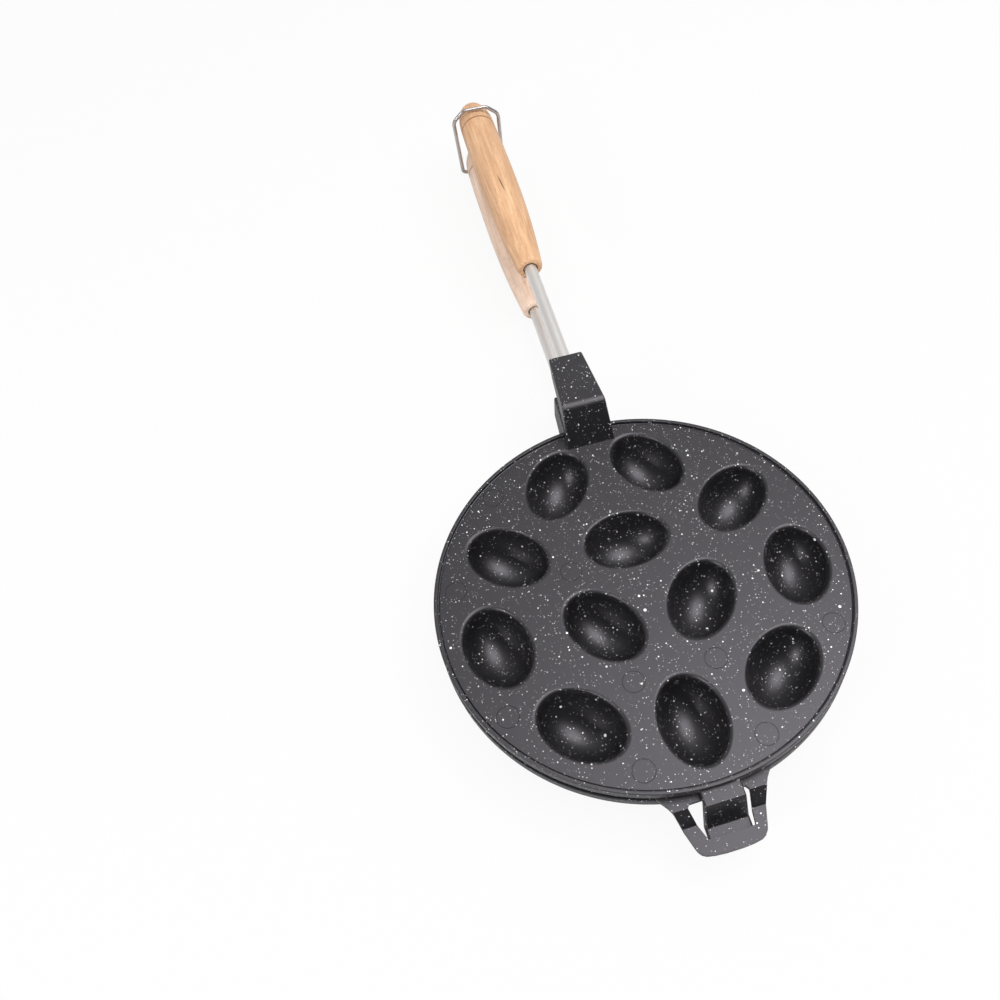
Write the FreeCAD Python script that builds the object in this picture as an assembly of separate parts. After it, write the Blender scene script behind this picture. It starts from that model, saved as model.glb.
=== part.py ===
import FreeCAD, Part
import math
import os

# Walnut cookie mould for the hob, closed and locked, in millimetres.
# It is modelled about the middle of its plates: Z = 0 is the parting plane, +Y runs along the
# handles and +Z is up. Before export everything moves so that the origin is the middle of
# the bounding box at its underside.

V = FreeCAD.Vector
origin = V(0, 0, 0)
y_axis = V(0, 1, 0)
z_axis = V(0, 0, 1)
full_turn = 360.0
mitred = 1

# One overrun serves every cut, and one clearance every fixed fit
cut_overrun = 2.0
fit_clearance = 0.05

# The two round plates
plate_radius = 80.0
half_height = 5.2
lip_width = 1.5
lip_height = 1.3
seam_recess = 1.2
seam_height = 1.6
parting_gap = 0.2

# The twelve nuts. The hollow is what shows on top, and its half length and half width are in
# plate radii; each layer below it is offset from the last
hollow_length_share = 0.201
hollow_width_share = 0.1456
hollow_depth = 16.6
bump_wall = 1.2
bump_floor = 2.7
dough_gap = 2.5
dough_floor = 3.0
cup_wall = 2.0
cup_floor = 3.4
nut_sides = 14
# Radius and depth of each ring of a nut, from the mouth to the small flat at its foot. The
# hollows on top have one ring more than the faces below them
nut_hollow_shares = ((1.0, 0.0), (0.955, 0.30), (0.82, 0.60), (0.57, 0.86), (0.27, 1.0))
nut_shares = ((1.0, 0.0), (0.91, 0.42), (0.65, 0.80), (0.29, 1.0))
# Place of each nut on the right, in plate radii, and the turn of its long axis. Those off the
# middle line are mirrored to the left
nut_place_shares = (
    (0.241, 0.684, 121.9),
    (0.585, 0.340, 39.3),
    (0.740, -0.111, 76.6),
    (0.471, -0.581, 41.6),
    (0.239, -0.151, 55.0),
    (0.0, 0.265, 0.0),
    (0.0, -0.696, 90.0),
)

# The lugs that carry the handles: set in from the rim, up over the front run, and out past it
handle_rise = 14.05
lug_inset = 9.5
lug_front_run = 9.2
lug_reach = 29.5
lug_start_half_width = 10.2
lug_knee_half_width = 9.2
lug_end_half_width = 7.3
lug_draft = 0.4
lug_over_tube = 3.95
lug_under_tube = 4.25
lug_top_fall = 1.6
lug_edge_bevel = 1.0

# The tubes, pushed into the lugs and the grips
tube_radius = 3.0
tube_wall = 0.7
tube_in_lug = 24.5
tube_in_grip = 70.0
screw_radius = 2.0
screw_from_end = 9.0
screw_sunk = 0.4

# The turned wooden grips
bare_tube = 63.5
grip_length = 138.0
grip_near_radius = 6.1
grip_near_round = 1.6
grip_belly_radius = 9.7
grip_tip_length = 21.0
grip_tip_radius = 9.3
grip_groove_width = 1.0
grip_groove_depth = 0.6
grip_mouth_radius = 3.7
grip_mouth_depth = 5.0
grip_end_flat_radius = 0.9
grip_sides = 20
grip_tip_steps = 5
grip_tip_fullness = 2.6
# Place along the grip, in grip lengths, and radius there, in belly radii
grip_body_shares = ((0.09, 0.74), (0.20, 0.86), (0.33, 0.95), (0.48, 1.0), (0.64, 1.0), (0.76, 0.98))
grip_pin_radius = 1.0
grip_pin_place = 18.0
grip_pin_head_rise = 0.8
grip_pin_past_wall = 1.2

# The wire bail that locks the grips together
bail_wire_radius = 1.0
bail_from_tip = 16.5
bail_foot_depth = 4.5
bail_leg_gap = 1.4
bail_leg_spread = 0.8
bail_top_gap = 0.35
bail_top_half_width = 6.4
bail_shoulder_drop = 5.6
bail_foot_bend = 2.2
bail_bend = 2.5
bail_bend_steps = 3
bail_wire_sides = 10
bail_hole_clearance = 0.05

# The hinge: a cast loop on the lower plate and a tongue on the upper one that hooks through
# it. The flats start at the rim, and each slope's run starts where its flat ends
loop_thickness = 3.0
loop_fall = 4.8
loop_flat = 2.7
loop_slope_run = 5.0
loop_reach = 19.0
loop_rim_half_width = 20.5
loop_knee_half_width = 14.9
loop_end_half_width = 11.0
loop_end_radius = 2.5
crossbar_width = 6.0
window_from_rim = 1.0
window_start_half_width = 11.2
window_end_half_width = 7.5
window_corner_radius = 1.2
tongue_thickness = 3.0
tongue_half_width = 7.0
tongue_top_height = 3.2
tongue_flat = 5.3
tongue_slope_run = 3.4
tongue_end_inset = 2.0
tongue_bar_gap = 0.3
tongue_corner_radius = 1.5

# Sizes worked out from the ones above
plate_thickness = half_height - lip_height
hollow_half_length = plate_radius * hollow_length_share
hollow_half_width = plate_radius * hollow_width_share
bump_half_length = hollow_half_length + bump_wall
bump_half_width = hollow_half_width + bump_wall
bump_depth = hollow_depth - plate_thickness + bump_floor
cup_half_length = bump_half_length + dough_gap
cup_half_width = bump_half_width + dough_gap
cup_depth = bump_depth + dough_floor
dome_half_length = cup_half_length + cup_wall
dome_half_width = cup_half_width + cup_wall
dome_depth = cup_depth + cup_floor
lug_start = plate_radius - lug_inset
lug_knee = lug_start + lug_front_run
lug_end = plate_radius + lug_reach
lug_top_height = handle_rise + tube_radius + lug_over_tube
lug_end_top_height = lug_top_height - lug_top_fall
lug_end_under_height = handle_rise - tube_radius - lug_under_tube
loop_slope_start = plate_radius + loop_flat
loop_slope_end = loop_slope_start + loop_slope_run
loop_end = plate_radius + loop_reach
crossbar_inner = loop_end - crossbar_width
window_start = plate_radius + window_from_rim
tongue_slope_start = plate_radius + tongue_flat
tongue_slope_end = tongue_slope_start + tongue_slope_run
tongue_end = loop_end - tongue_end_inset
grip_start = lug_end + bare_tube
grip_tip = grip_start + grip_length
bail_place = grip_tip - bail_from_tip


def prism(points, sweep):
    """Solid swept along `sweep` from a closed outline of straight runs."""
    return Part.Face(Part.makePolygon(points + [points[0]])).extrude(sweep)


def stacked(rings):
    """Closed solid in flat faces, through outlines that have as many corners each."""
    faces = [Part.Face(Part.makePolygon(ring + [ring[0]])) for ring in (rings[0], rings[-1])]
    for above, below in zip(rings, rings[1:]):
        for here, after in zip(range(len(above)), [*range(1, len(above)), 0]):
            corners = [above[here], above[after], below[after], below[here]]
            faces.append(Part.Face(Part.makePolygon(corners + [corners[0]])))
    solid = Part.Solid(Part.Shell(faces))
    if solid.Volume < 0:
        solid.reverse()
    return solid


def flat_sided(half_length, half_width, sides):
    """Corners of a flat-sided ring with the same area as the ellipse that it stands for."""
    step = 2 * math.pi / sides
    fullness = math.sqrt(step / math.sin(step))
    corners = []
    for side in range(sides):
        turn = step * (side + 1 / 2)
        corners.append((half_length * fullness * math.cos(turn), half_width * fullness * math.sin(turn)))
    return corners


def turned(points, axis_point, axis):
    """Solid of revolution from a closed outline of straight runs."""
    face = Part.Face(Part.makePolygon(points + [points[0]]))
    return face.revolve(axis_point, axis, full_turn)


def edges_where(shape, test):
    return [edge for edge in shape.Edges if test(edge)]


def is_upright(edge):
    """True for an edge parallel to Z."""
    first, last = edge.Vertexes[0].Point, edge.Vertexes[-1].Point
    return (last - first).cross(z_axis).Length < fit_clearance and (last - first).Length > fit_clearance


def mirrored_down(shape):
    """The matching piece of the other half, mirrored in the parting plane."""
    return shape.mirror(origin, z_axis)


# The nuts


def nut_form(half_length, half_width, depth, mouth_level, skirt, profile_shares):
    """Half a nut in flat facets, hanging from its mouth, with a straight skirt above it."""
    mouth = flat_sided(half_length, half_width, nut_sides)
    rings = [[V(x, y, mouth_level + skirt) for x, y in mouth]] if skirt else []
    for radius_share, depth_share in profile_shares:
        level = mouth_level - depth * depth_share
        rings.append([V(x * radius_share, y * radius_share, level) for x, y in mouth])
    return stacked(rings)


def at_every_nut(form):
    """Twelve copies of a form, one at each nut's place and turned with it."""
    copies = []
    for across_share, along_share, turn in nut_place_shares:
        sides = (1, -1) if across_share else (1,)
        for side in sides:
            copy = form.copy()
            copy.rotate(origin, z_axis, turn * side)
            copy.translate(V(across_share * plate_radius * side, along_share * plate_radius, 0))
            copies.append(copy)
    return copies


# The plates


def plate(underside):
    """Round plate above the parting plane, with its lip, and a step round the seam."""
    groove_radius = plate_radius - seam_recess
    lip_inner = plate_radius - lip_width
    outline = [
        V(0, 0, underside),
        V(groove_radius, 0, underside),
        V(groove_radius, 0, seam_height),
        V(plate_radius, 0, seam_height),
        V(plate_radius, 0, half_height),
        V(lip_inner, 0, half_height),
        V(lip_inner, 0, plate_thickness),
        V(0, 0, plate_thickness),
    ]
    return turned(outline, origin, z_axis)


# The lugs


def lug_outline(growth, level):
    """Plan of a lug at one level: wide on the plate and narrow at the tube's end."""
    start = lug_start - cut_overrun
    taper = (lug_start_half_width - lug_knee_half_width) / (lug_knee - lug_start)
    start_width = lug_start_half_width + taper * cut_overrun + growth
    return [
        V(start_width, start, level),
        V(lug_knee_half_width + growth, lug_knee, level),
        V(lug_end_half_width + growth, lug_end, level),
        V(-lug_end_half_width - growth, lug_end, level),
        V(-lug_knee_half_width - growth, lug_knee, level),
        V(-start_width, start, level),
    ]


def lug(underside):
    """Handle lug: its side view cut from a drafted block, with the long edges bevelled."""
    block = stacked([lug_outline(lug_draft, 0), lug_outline(0, lug_top_height)])
    inside = lug_start + lug_edge_bevel
    side_view = [
        V(-plate_radius, lug_start, plate_thickness),
        V(-plate_radius, lug_knee, lug_top_height),
        V(-plate_radius, lug_end, lug_end_top_height),
        V(-plate_radius, lug_end, lug_end_under_height),
        V(-plate_radius, plate_radius, underside + seam_height),
        V(-plate_radius, inside, underside + seam_height),
        V(-plate_radius, inside, plate_thickness),
    ]
    body = block.common(prism(side_view, V(2 * plate_radius, 0, 0)))

    def is_long_top(edge):
        middle = edge.CenterOfMass
        return abs(middle.x) > lug_end_half_width / 2 and middle.z > lug_end_top_height

    return body.makeChamfer(lug_edge_bevel, edges_where(body, is_long_top))


def tube_hole():
    start = lug_end - tube_in_lug
    radius = tube_radius + fit_clearance
    return Part.makeCylinder(radius, tube_in_lug + cut_overrun, V(0, start, handle_rise), y_axis)


def screw_hole():
    length = handle_rise
    return Part.makeCylinder(screw_radius + fit_clearance, length, V(0, lug_end - screw_from_end, 0), z_axis)


# The hinge


def loop():
    """Loop of the lower plate: a strip that steps down, with a window behind its crossbar."""
    inner = plate_radius - 4 * lip_width
    profile = [
        V(-plate_radius, -inner, 0),
        V(-plate_radius, -loop_slope_start, 0),
        V(-plate_radius, -loop_slope_end, -loop_fall),
        V(-plate_radius, -loop_end, -loop_fall),
        V(-plate_radius, -loop_end, -loop_fall - loop_thickness),
        V(-plate_radius, -loop_slope_end, -loop_fall - loop_thickness),
        V(-plate_radius, -loop_slope_start, -loop_thickness),
        V(-plate_radius, -inner, -loop_thickness),
    ]
    strip = prism(profile, V(2 * plate_radius, 0, 0))
    low = -loop_fall - loop_thickness - cut_overrun
    tall = V(0, 0, 2 * cut_overrun - low)
    corner = loop_end_half_width + loop_end_radius / 2
    plan = [
        V(-loop_rim_half_width, -inner, low),
        V(-loop_rim_half_width, -plate_radius + seam_recess, low),
        V(-loop_knee_half_width - loop_end_radius, -loop_slope_start, low),
        V(-loop_knee_half_width, -loop_slope_end, low),
        V(-corner, -loop_end + loop_end_radius / 2, low),
        V(-loop_end_half_width / 2, -loop_end, low),
    ]
    plan += [V(-point.x, point.y, point.z) for point in reversed(plan)]
    outline = prism(plan, tall)
    outline = outline.makeFillet(loop_end_radius, edges_where(outline, is_end_corner))
    window = [
        V(-window_start_half_width, -window_start, low),
        V(-window_end_half_width, -crossbar_inner, low),
        V(window_end_half_width, -crossbar_inner, low),
        V(window_start_half_width, -window_start, low),
    ]
    opening = prism(window, tall)
    opening = opening.makeFillet(window_corner_radius, edges_where(opening, is_upright))
    return strip.common(outline).cut(opening)


def is_end_corner(edge):
    near_end = edge.CenterOfMass.y < -loop_end + loop_end_radius
    return is_upright(edge) and near_end and abs(edge.CenterOfMass.x) > loop_end_half_width


def tongue():
    """Hook of the upper plate: out over the strip, down through the window, under the crossbar."""
    inner = plate_radius - 4 * lip_width
    axis_level = -loop_fall - loop_thickness
    under_bar = axis_level - tongue_bar_gap
    slope = (tongue_top_height - under_bar) / (tongue_slope_end - tongue_slope_start)
    back = tongue_thickness / slope * math.hypot(1, slope)
    profile = [
        V(-tongue_half_width, -inner, tongue_top_height),
        V(-tongue_half_width, -tongue_slope_start, tongue_top_height),
        V(-tongue_half_width, -tongue_slope_end, under_bar),
        V(-tongue_half_width, -tongue_end, under_bar),
        V(-tongue_half_width, -tongue_end, under_bar - tongue_thickness),
        V(-tongue_half_width, -tongue_slope_end + back / 2, under_bar - tongue_thickness),
        V(-tongue_half_width, -tongue_slope_start + back, parting_gap),
        V(-tongue_half_width, -inner, parting_gap),
    ]
    hook = prism(profile, V(2 * tongue_half_width, 0, 0))

    def is_tip(edge):
        return is_upright(edge) and edge.CenterOfMass.y < -tongue_slope_end

    return hook.makeFillet(tongue_corner_radius, edges_where(hook, is_tip))


# The two castings


def upper_mould_half():
    casting = plate(parting_gap).multiFuse([lug(parting_gap), tongue()])
    bump = nut_form(
        bump_half_length, bump_half_width, bump_depth, parting_gap, plate_thickness / 2, nut_shares
    )
    casting = casting.multiFuse(at_every_nut(bump))
    hollow = nut_form(
        hollow_half_length, hollow_half_width, hollow_depth, plate_thickness, cut_overrun, nut_hollow_shares
    )
    cuts = at_every_nut(hollow) + [tube_hole(), screw_hole()]
    return casting.cut(cuts).removeSplitter()


def lower_mould_half():
    casting = mirrored_down(plate(0).fuse(lug(0))).fuse(loop())
    buried = plate_thickness / 2
    dome = nut_form(dome_half_length, dome_half_width, dome_depth - buried, -buried, 0, nut_shares)
    casting = casting.multiFuse(at_every_nut(dome))
    cup = nut_form(cup_half_length, cup_half_width, cup_depth, 0, cut_overrun, nut_shares)
    cuts = at_every_nut(cup) + [mirrored_down(tube_hole()), mirrored_down(screw_hole())]
    return casting.cut(cuts).removeSplitter()


# The handles


def handle_tube():
    start = lug_end - tube_in_lug
    length = grip_start + tube_in_grip - start
    outside = Part.makeCylinder(tube_radius, length, V(0, start, handle_rise), y_axis)
    inside = Part.makeCylinder(tube_radius - tube_wall, length, V(0, start, handle_rise), y_axis)
    return outside.cut([inside, grip_pin_hole()])


def tube_screw():
    """Set screw in the parting side of a lug, up to the tube."""
    place = lug_end - screw_from_end
    rise = (place - plate_radius) / (lug_end - plate_radius)
    foot = lug_end_under_height * rise + seam_height + screw_sunk
    length = handle_rise - tube_radius - fit_clearance - foot
    return Part.makeCylinder(screw_radius, length, V(0, place, foot), z_axis)


def grip_pin(radius, overrun):
    """Pin driven from the parting side through the wood and the near wall of the tube."""
    head = grip_near_radius + grip_pin_head_rise + overrun
    point = tube_radius - tube_wall - grip_pin_past_wall
    start = V(0, grip_start + grip_pin_place, handle_rise - head)
    return Part.makeCylinder(radius, head - point, start, z_axis)


def grip_pin_hole():
    return grip_pin(grip_pin_radius + fit_clearance, cut_overrun)


def grip_outline():
    """Radius and place of each turned step of a grip, from its near end to its rounded tip."""
    groove_end = grip_length - grip_tip_length
    groove_start = groove_end - grip_groove_width
    groove_floor = grip_tip_radius - grip_groove_depth
    outline = [(grip_near_radius - grip_near_round, 0), (grip_near_radius, grip_near_round)]
    for place_share, radius_share in grip_body_shares:
        outline.append((grip_belly_radius * radius_share, grip_length * place_share))
    outline += [(grip_tip_radius, groove_start), (groove_floor, groove_start), (groove_floor, groove_end)]
    bulge = 2 / grip_tip_fullness
    for step in range(grip_tip_steps):
        turn = math.pi / 2 * step / grip_tip_steps
        radius = grip_tip_radius * math.cos(turn) ** bulge
        outline.append((radius, groove_end + grip_tip_length * math.sin(turn) ** bulge))
    outline.append((grip_end_flat_radius, grip_length))
    return outline


def grip():
    rings = []
    for radius, place in grip_outline():
        ring = flat_sided(radius, radius, grip_sides)
        rings.append([V(x, grip_start + place, handle_rise + z) for x, z in ring])
    wood = stacked(rings)
    start = V(0, grip_start - cut_overrun, handle_rise)
    bore_length = tube_in_grip + cut_overrun + fit_clearance
    bore = Part.makeCylinder(tube_radius + fit_clearance, bore_length, start, y_axis)
    mouth = Part.makeCylinder(grip_mouth_radius, grip_mouth_depth + cut_overrun, start, y_axis)
    return wood.cut([bore, mouth, grip_pin_hole()])


# The bail


def bail_corner_points():
    """Corners of the bail on the right, from its foot in the lower grip to the top bar."""
    foot = bail_foot_end()
    leg = grip_tip_radius + bail_wire_radius + bail_leg_gap
    top = handle_rise + grip_tip_radius + bail_wire_radius + bail_top_gap
    return [
        V(foot, bail_place, -handle_rise),
        V(leg, bail_place, -handle_rise),
        V(leg + bail_leg_spread, bail_place, top - bail_shoulder_drop),
        V(bail_top_half_width, bail_place, top),
    ]


def bail_foot_end():
    return grip_tip_radius - bail_foot_depth


def bent_path(corners, radii):
    """Wire of straight runs, with each bend in a few short ones."""
    points = [corners[0]]
    for before, corner, after, radius in zip(corners, corners[1:], corners[2:], radii):
        back = (before - corner).normalize()
        ahead = (after - corner).normalize()
        half_angle = back.getAngle(ahead) / 2
        centre = corner + (back + ahead).normalize() * (radius / math.sin(half_angle))
        spoke = corner + back * (radius / math.tan(half_angle)) - centre
        axis = ahead.cross(back)
        bend = math.degrees(math.pi - 2 * half_angle)
        for step in range(bail_bend_steps + 1):
            turned_spoke = FreeCAD.Rotation(axis, bend * step / bail_bend_steps).multVec(spoke)
            points.append(centre + turned_spoke)
    points.append(corners[-1])
    return Part.makePolygon(points)


def locking_bail():
    right = bail_corner_points()
    left = [V(-point.x, point.y, point.z) for point in reversed(right)]
    corners = right + left
    bends = [bail_foot_bend, bail_bend, bail_bend]
    path = bent_path(corners, bends + bends[::-1])
    ring = flat_sided(bail_wire_radius, bail_wire_radius, bail_wire_sides)
    section = [corners[0] + V(0, y, z) for y, z in ring]
    return path.makePipeShell([Part.makePolygon(section + [section[0]])], True, False, mitred)


def bail_holes():
    """Two blind holes in the sides of the lower grip."""
    radius = bail_wire_radius + bail_hole_clearance
    inner = bail_foot_end() - bail_hole_clearance
    holes = []
    for side in (1, -1):
        start = V(side * inner, bail_place, -handle_rise)
        holes.append(Part.makeCylinder(radius, grip_belly_radius, start, V(side, 0, 0)))
    return holes


# Everything, placed about the origin under the middle of its bounding box


def all_pieces():
    tube = handle_tube()
    screw = tube_screw()
    wood = grip()
    pin = grip_pin(grip_pin_radius, 0)
    return {
        "upper_mould_half": upper_mould_half(),
        "lower_mould_half": lower_mould_half(),
        "upper_handle_tube": tube,
        "lower_handle_tube": mirrored_down(tube),
        "upper_grip": wood,
        "lower_grip": mirrored_down(wood).cut(bail_holes()),
        "upper_tube_screw": screw,
        "lower_tube_screw": mirrored_down(screw),
        "upper_grip_pin": pin,
        "lower_grip_pin": mirrored_down(pin),
        "locking_bail": locking_bail(),
    }


pieces = all_pieces()
box = Part.makeCompound(list(pieces.values())).optimalBoundingBox(False)
to_origin = V(0, -(box.YMin + box.YMax) / 2, -box.ZMin)

os.makedirs("parts", exist_ok=True)
for name, shape in pieces.items():
    if len(shape.Solids) != 1:
        raise ValueError(f"{name} is {len(shape.Solids)} solids")
    solid = shape.Solids[0]
    solid.translate(to_origin)
    if not solid.isValid():
        raise ValueError(f"{name} is not a valid solid")
    solid.exportStep(os.path.join("parts", name + ".step"))
print("moved by", to_origin)
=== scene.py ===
# %% [markdown]
# # A walnut cookie mould
#
# The object is a round cast pan in two halves, with twelve nut-shaped hollows, hinged at the
# near edge and locked by a wire bail at the end of two wooden grips. The engineering model
# already gives each piece its size, its place and the body it moves with. This script gives
# those pieces the rounded edges, the cast relief and the finishes of the real thing.
#
# The first cell loads the engineering model. Every length below is in metres, so a length
# that is easier to think of in millimetres is multiplied by `mm`.

# %% Load the engineering model
import math

import bmesh
import bpy
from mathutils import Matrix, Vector


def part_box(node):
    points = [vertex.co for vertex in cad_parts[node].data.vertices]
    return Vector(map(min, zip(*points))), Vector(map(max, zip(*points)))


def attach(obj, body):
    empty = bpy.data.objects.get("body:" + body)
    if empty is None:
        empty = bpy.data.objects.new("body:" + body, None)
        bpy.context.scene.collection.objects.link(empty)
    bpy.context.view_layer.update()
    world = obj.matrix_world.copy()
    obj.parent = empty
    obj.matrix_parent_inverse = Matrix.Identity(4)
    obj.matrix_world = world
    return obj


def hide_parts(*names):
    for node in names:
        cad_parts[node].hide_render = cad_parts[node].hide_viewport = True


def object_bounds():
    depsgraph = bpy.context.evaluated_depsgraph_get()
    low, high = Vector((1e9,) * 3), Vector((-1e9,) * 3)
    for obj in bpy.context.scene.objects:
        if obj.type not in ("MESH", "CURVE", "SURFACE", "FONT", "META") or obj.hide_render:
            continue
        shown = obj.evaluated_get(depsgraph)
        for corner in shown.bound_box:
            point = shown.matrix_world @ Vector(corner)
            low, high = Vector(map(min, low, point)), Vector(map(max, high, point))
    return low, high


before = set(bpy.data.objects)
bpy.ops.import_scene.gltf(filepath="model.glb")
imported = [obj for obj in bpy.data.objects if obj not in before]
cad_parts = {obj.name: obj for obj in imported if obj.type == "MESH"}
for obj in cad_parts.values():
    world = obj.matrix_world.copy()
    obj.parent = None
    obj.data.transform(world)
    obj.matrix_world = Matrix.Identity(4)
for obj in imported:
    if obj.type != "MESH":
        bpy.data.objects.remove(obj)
cad_low, cad_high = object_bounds()
mm = 0.001
print("engineering model, mm:", [round(side / mm, 1) for side in cad_high - cad_low])

# %% [markdown]
# ## Where things are
#
# Every place is counted from the middle of the plates, on the plane where the two halves meet.
# The two tubes mirror each other, so that plane lies halfway between them. The hinge loop ends
# at the near end of the object, so the middle of the plates is the loop's reach away from it.

# %% Levels and places read from the engineering model
upper_tube_low, upper_tube_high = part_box("upper_handle_tube")
plate_radius = 80 * mm
loop_reach = 99 * mm
near = 0.05 * mm  # places closer than this count as one
parting = (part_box("upper_handle_tube")[1].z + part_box("lower_handle_tube")[0].z) / 2
middle_y = cad_low.y + loop_reach
handle_rise = (upper_tube_low.z + upper_tube_high.z) / 2 - parting
print("parting plane at", round(parting / mm, 2), "mm, handles", round(handle_rise / mm, 2), "mm from it")


def at(x, y, z):
    """A point given in millimetres from the middle of the plates on the parting plane."""
    return Vector((x * mm, middle_y + y * mm, parting + z * mm))


# %% [markdown]
# ## A few hand tools
#
# Operators act on whatever is selected, so each helper first clears the selection.
# `start_edit` enters edit mode on one object and `end_edit` leaves it. `pick` selects the
# corners, edges or faces that pass a test on their place, as a click or a box does by hand.

# %% Selection and edit mode
def clear_selection():
    bpy.ops.object.select_all(action="DESELECT")


def choose(piece):
    clear_selection()
    piece.select_set(True)
    bpy.context.view_layer.objects.active = piece


def start_edit(piece, by="VERT"):
    choose(piece)
    bpy.ops.object.mode_set(mode="EDIT")
    bpy.ops.mesh.select_mode(type=by)
    bpy.ops.mesh.select_all(action="DESELECT")


def end_edit():
    bpy.ops.object.mode_set(mode="OBJECT")


def pick(piece, test, kind="verts"):
    """Select the corners, edges or faces whose middle passes a test. Works in edit mode."""
    shape = bmesh.from_edit_mesh(piece.data)
    for element in getattr(shape, kind):
        if kind == "verts":
            place = element.co
        elif kind == "faces":
            place = element.calc_center_median()
        else:
            place = (element.verts[0].co + element.verts[1].co) / 2
        if test(place):
            element.select_set(True)
    shape.select_flush_mode()
    bmesh.update_edit_mesh(piece.data)


def settle(piece):
    """Put a piece's place, turn and scale into its mesh, so its object sits at the origin."""
    choose(piece)
    bpy.ops.object.transform_apply(location=True, rotation=True, scale=True)
    return piece


def face_outwards(piece):
    start_edit(piece)
    bpy.ops.mesh.select_all(action="SELECT")
    bpy.ops.mesh.remove_doubles(threshold=0.001 * mm)
    bpy.ops.mesh.normals_make_consistent(inside=False)
    end_edit()
    return piece


def finish_modifier(piece, modifier):
    choose(piece)
    bpy.ops.object.modifier_apply(modifier=modifier.name)


def round_edges(piece, width, segments, angle):
    """Bevel every edge that turns by more than an angle, given in degrees."""
    modifier = piece.modifiers.new("rounded edges", "BEVEL")
    modifier.width = width
    modifier.segments = segments
    modifier.limit_method = "ANGLE"
    modifier.angle_limit = math.radians(angle)
    finish_modifier(piece, modifier)


# %% [markdown]
# ## Drawing an outline and sweeping it
#
# Lugs, tongues and loops are easiest to think of as a side view with a thickness. The outline
# starts as a plane that is merged to a single corner, and each further corner is extruded
# from the last one. Filling the loop and extruding the face gives the solid.

# %% Outline tool
def drawn_line(name, corners):
    """Extrude a single corner along a line, and stay in edit mode."""
    clear_selection()
    bpy.ops.mesh.primitive_plane_add(size=mm, location=corners[0])
    piece = bpy.context.object
    piece.name = name
    settle(piece)
    start_edit(piece)
    bpy.ops.mesh.select_all(action="SELECT")
    bpy.ops.mesh.merge(type="CENTER")
    for before, after in zip(corners, corners[1:]):
        bpy.ops.mesh.extrude_region_move(TRANSFORM_OT_translate={"value": after - before})
    return piece


def drawn_solid(name, corners, sweep):
    """Draw an outline, fill it, and sweep the face."""
    piece = drawn_line(name, corners)
    bpy.ops.mesh.select_all(action="SELECT")
    bpy.ops.mesh.edge_face_add()
    bpy.ops.mesh.extrude_region_move(TRANSFORM_OT_translate={"value": sweep})
    end_edit()
    return face_outwards(piece)


# %% [markdown]
# ## Stacking rings
#
# A nut is a stack of ovals. A filled circle is scaled to the first oval, and each next ring
# is the last one extruded and scaled. A list of shares of one oval, each with its height,
# describes every hollow, bump, cup and dome on this object.

# %% Ring tool
nut_corners = 56


def stacked_rings(name, half_length, half_width, rings, corners=nut_corners):
    """Solid through ovals; each ring is a share of the half length and width, and a height."""
    clear_selection()
    bpy.ops.mesh.primitive_circle_add(vertices=corners, radius=1, fill_type="NGON")
    piece = bpy.context.object
    piece.name = name
    first_share, first_height = rings[0]
    piece.scale = (half_length * first_share, half_width * first_share, 1)
    piece.location.z = first_height
    settle(piece)
    start_edit(piece)
    bpy.ops.mesh.select_all(action="SELECT")
    for (share, height), (next_share, next_height) in zip(rings, rings[1:]):
        ratio = next_share / share
        step = (0, 0, next_height - height)
        bpy.ops.mesh.extrude_region_move(TRANSFORM_OT_translate={"value": step})
        bpy.ops.transform.resize(value=(ratio, ratio, 1), center_override=(0, 0, next_height))
    end_edit()
    return face_outwards(piece)


# %% [markdown]
# ## Cutting and joining
#
# A casting is one lump of metal, so its parts are joined with the Boolean modifier, and the
# hollows are cut out of it the same way. The manifold solver is quick, and asks only that each
# solid is closed. The tools are kept in a collection for the modifier and removed afterwards.

# %% Boolean tool
def combine(piece, others, operation):
    """Join the other solids to a piece, or cut them out of it, and remove them."""
    group = bpy.data.collections.new("tools")
    bpy.context.scene.collection.children.link(group)
    for other in others:
        for home in list(other.users_collection):
            home.objects.unlink(other)
        group.objects.link(other)
    modifier = piece.modifiers.new("combine", "BOOLEAN")
    modifier.operation = operation
    modifier.operand_type = "COLLECTION"
    modifier.collection = group
    modifier.solver = "MANIFOLD"
    finish_modifier(piece, modifier)
    for other in others:
        bpy.data.objects.remove(other)
    bpy.data.collections.remove(group)


# %% [markdown]
# ## The nuts' places
#
# Twelve nuts lie round the plate in mirrored pairs, apart from two on the middle line. Each
# row gives the place of the right one in millimetres and the turn of its long axis.

# %% Nut places and sizes
nut_pairs = (
    (19.3, 54.7, 121.9),
    (46.8, 27.2, 39.3),
    (59.2, -8.9, 76.6),
    (37.7, -46.5, 41.6),
    (19.1, -12.1, 55.0),
)
nut_singles = ((0, 21.2, 0), (0, -55.7, 90))
nut_places = list(nut_singles)
for x, y, turn in nut_pairs:
    nut_places += [(x, y, turn), (-x, y, 180 - turn)]

# Half length and half width of each form at its mouth, and its depth
hollow_half = (16.1 * mm, 11.65 * mm)
hollow_depth = 16.6 * mm
bump_half = (17.3 * mm, 12.85 * mm)
bump_depth = 15.4 * mm
cup_half = (19.8 * mm, 15.35 * mm)
cup_depth = 18.4 * mm
dome_half = (21.8 * mm, 17.35 * mm)
dome_depth = 21.8 * mm

surface = 3.9 * mm  # the plate's face, over the parting plane
hollow_rounding = 2.2 * mm
cup_rounding = 0.6 * mm
bump_overlap = 0.2 * mm  # a bump starts this far inside the plate
dome_start = 2 * mm  # a dome starts this far below the parting plane
cutter_rise = 1 * mm  # a cutter stands out of the metal by this much
foot_share = 0.27  # width of the flat foot of a bump or dome, as a share of its mouth
cutter_foot_share = 0.05
mouth_steps = 8
print(len(nut_places), "nuts")


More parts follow.
